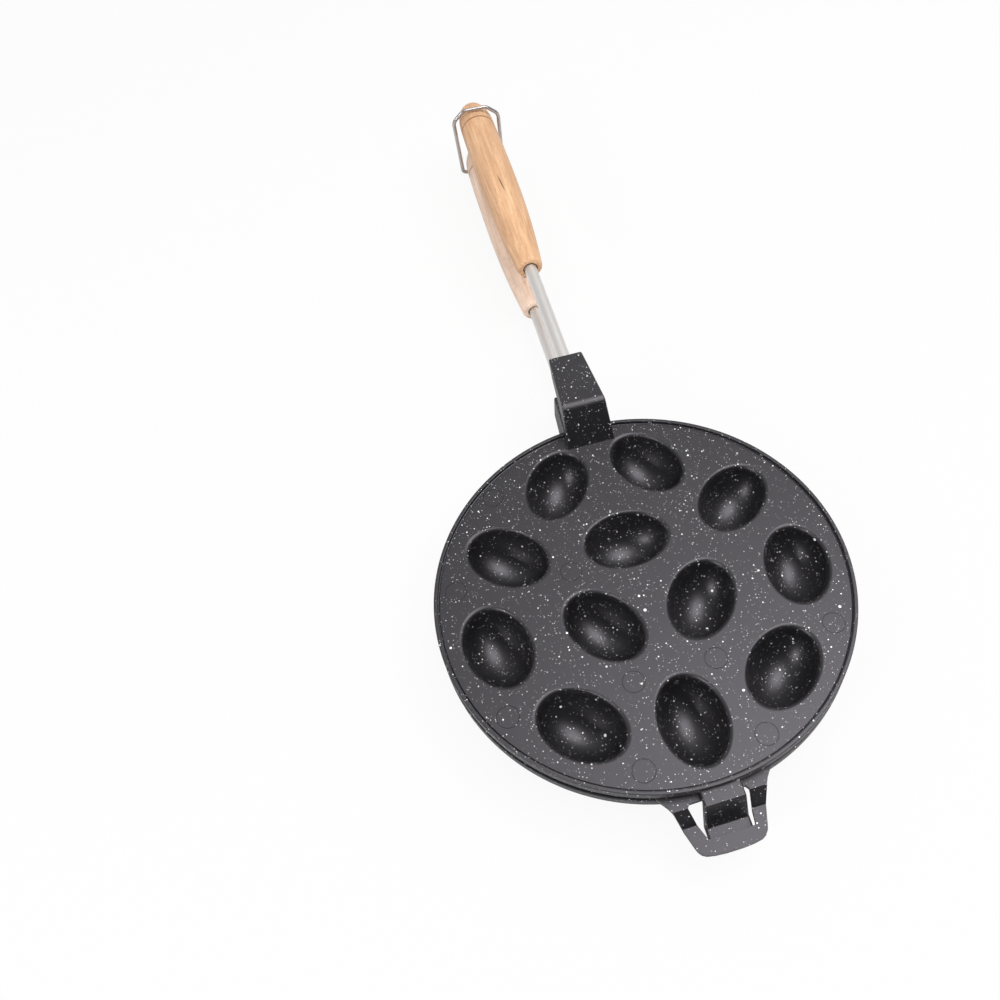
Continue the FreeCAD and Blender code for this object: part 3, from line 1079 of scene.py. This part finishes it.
upper_wood_finish = wood_material("light_wood", (0.52, 0.285, 0.15), (0.74, 0.46, 0.265))
# The lower grip is the same wood with painted light: its paler colours stand in for the brighter side
# light on it.
lower_wood_painted_lighter = wood_material("wood_painted_lighter", (0.72, 0.51, 0.39), (0.90, 0.70, 0.56))

# %% [markdown]
# ### Steel
#
# The tubes are bright steel, and the wire, screws and pins a duller one. A metallic shader
# with fine noise on the roughness is enough: the reflections do the rest.

# %% Steel
roughness_swing = 0.08


def steel_material(name, colour, roughness):
    material, tree, shader = new_material(name)
    coordinates = node(tree, "ShaderNodeTexCoord")
    brushed = node(tree, "ShaderNodeMapping")
    brushed.inputs["Scale"].default_value = (1.0, 0.05, 1.0)
    link(tree, coordinates, "Object", brushed, "Vector")
    scratches = node(tree, "ShaderNodeTexNoise", Scale=2500.0, Detail=2.0)
    link(tree, brushed, "Vector", scratches, "Vector")
    rough = node(tree, "ShaderNodeMapRange")
    rough.inputs["To Min"].default_value = roughness - roughness_swing
    rough.inputs["To Max"].default_value = roughness + roughness_swing
    link(tree, scratches, "Fac", rough, "Value")
    link(tree, rough, "Result", shader, "Roughness")
    shader.inputs["Base Color"].default_value = (*colour, 1)
    shader.inputs["Metallic"].default_value = 1.0
    return material


tube_steel = steel_material("tube_steel", (0.88, 0.855, 0.83), 0.5)
wire_steel = steel_material("wire_steel", (0.55, 0.52, 0.505), 0.38)
fixing_steel = steel_material("fixing_steel", (0.50, 0.50, 0.50), 0.35)

finishes = {
    "upper_handle_tube": tube_steel,
    "lower_handle_tube": tube_steel,
    "upper_tube_screw": fixing_steel,
    "lower_tube_screw": fixing_steel,
    "upper_grip_pin": fixing_steel,
    "lower_grip_pin": fixing_steel,
}
dressed = [(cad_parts[name], finish) for name, finish in finishes.items()]
dressed += [(upper_grip, upper_wood_finish), (lower_grip, lower_wood_painted_lighter), (bail, wire_steel)]
for piece, finish in dressed:
    piece.data.materials.clear()
    piece.data.materials.append(finish)

# %% [markdown]
# ## Floor, light and camera
#
# The photograph is a cut-out on white. Light Path tells the rays apart, so the floor and the
# world look white where the camera looks, while the light on the object comes from a plain
# pale sky and two lamps. In reflections the floor is pale grey, and the sky is dark in front
# and grey behind, which keeps the faces towards the camera dark. One large soft lamp above and to
# the right gives the coat its grey sheen, and a small low one at the left makes the second
# highlight in the hollows. The camera was fitted to the plate, the hollows and the handles.

# %% Floor
floor_size = 8


def seen_directly(tree, straight_share, mirrored_share):
    """One share where the camera looks, another where a reflection looks, and 0 elsewhere."""
    path = node(tree, "ShaderNodeLightPath")
    straight = node(tree, "ShaderNodeMath", operation="MAXIMUM")
    link(tree, path, "Is Camera Ray", straight, 0)
    link(tree, path, "Is Transmission Ray", straight, 1)
    straight_part = node(tree, "ShaderNodeMath", operation="MULTIPLY")
    straight_part.inputs[1].default_value = straight_share
    link(tree, straight, 0, straight_part, 0)
    mirrored_part = node(tree, "ShaderNodeMath", operation="MULTIPLY")
    mirrored_part.inputs[1].default_value = mirrored_share
    link(tree, path, "Is Glossy Ray", mirrored_part, 0)
    part = node(tree, "ShaderNodeMath", operation="MAXIMUM")
    link(tree, straight_part, 0, part, 0)
    link(tree, mirrored_part, 0, part, 1)
    return part


clear_selection()
bpy.ops.mesh.primitive_plane_add(size=floor_size, location=(0, 0, cad_low.z))
floor = settle(bpy.context.object)
floor.name = "floor"
floor_material, floor_tree, floor_shader = new_material("pale_floor")
floor_shader.inputs["Base Color"].default_value = (0.6, 0.6, 0.6, 1)
floor_shader.inputs["Roughness"].default_value = 0.9
floor_white = node(floor_tree, "ShaderNodeEmission", Strength=1.0)
floor_mix = node(floor_tree, "ShaderNodeMixShader")
floor_share = seen_directly(floor_tree, straight_share=0.92, mirrored_share=0.1)
floor_output = next(n for n in floor_tree.nodes if n.type == "OUTPUT_MATERIAL")
link(floor_tree, floor_share, 0, floor_mix, 0)
link(floor_tree, floor_shader, "BSDF", floor_mix, 1)
link(floor_tree, floor_white, "Emission", floor_mix, 2)
link(floor_tree, floor_mix, 0, floor_output, "Surface")
floor.data.materials.append(floor_material)

# %% World
world = bpy.data.worlds.new("studio")
bpy.context.scene.world = world
world.use_nodes = True
sky = world.node_tree
sky.nodes.clear()
sky_output = sky.nodes.new("ShaderNodeOutputWorld")
direction = node(sky, "ShaderNodeTexCoord")
parts = node(sky, "ShaderNodeSeparateXYZ")
link(sky, direction, "Generated", parts, 0)
front = node(sky, "ShaderNodeMapRange", interpolation_type="SMOOTHSTEP")
front.inputs["From Min"].default_value = -0.55
front.inputs["From Max"].default_value = 0.45
front.inputs["To Min"].default_value = 0.01
front.inputs["To Max"].default_value = 0.55
link(sky, parts, "Y", front, "Value")
plain_sky = node(sky, "ShaderNodeBackground", Strength=0.68)
mirror_sky = node(sky, "ShaderNodeBackground")
link(sky, front, "Result", mirror_sky, "Strength")
white_sky = node(sky, "ShaderNodeBackground", Strength=1.0)
for background in (plain_sky, mirror_sky, white_sky):
    background.inputs["Color"].default_value = (1, 1, 1, 1)
path = node(sky, "ShaderNodeLightPath")
lit = node(sky, "ShaderNodeMixShader")
link(sky, path, "Is Glossy Ray", lit, 0)
link(sky, plain_sky, 0, lit, 1)
link(sky, mirror_sky, 0, lit, 2)
straight = node(sky, "ShaderNodeMath", operation="MAXIMUM")
link(sky, path, "Is Camera Ray", straight, 0)
link(sky, path, "Is Transmission Ray", straight, 1)
seen = node(sky, "ShaderNodeMixShader")
link(sky, straight, 0, seen, 0)
link(sky, lit, 0, seen, 1)
link(sky, white_sky, 0, seen, 2)
link(sky, seen, 0, sky_output, "Surface")

# %% Lamps
lamps_aim = (0, -0.1, 0)


def soft_lamp(name, place, size, power):
    """A square soft lamp that points near the middle of the plates."""
    clear_selection()
    bpy.ops.object.light_add(type="AREA", location=place)
    lamp = bpy.context.object
    lamp.name = name
    lamp.data.shape = "RECTANGLE"
    lamp.data.size, lamp.data.size_y = size, size
    lamp.data.energy = power
    lamp.rotation_mode = "QUATERNION"
    lamp.rotation_quaternion = (Vector(lamps_aim) - Vector(place)).to_track_quat("-Z", "Y")


soft_lamp("lamp_overhead", (0.36, -0.20, 1.05), size=0.85, power=11)
soft_lamp("lamp_left", (-0.75, -0.52, 0.51), size=0.14, power=3.4)

# %% Camera
bpy.ops.object.camera_add()
camera = bpy.context.object
camera.data.sensor_width = 36
camera.data.lens = 34.887
camera.data.shift_x = -0.08
camera.data.shift_y = -0.05
camera.location = at(-58.57, -172.32, 330.712)
camera.rotation_euler = [math.radians(turn) for turn in (37.009, 2.624, -15.887)]
camera.data.clip_start = 0.01
camera.data.clip_end = 50
bpy.context.scene.camera = camera
bpy.context.scene.view_settings.view_transform = "Standard"
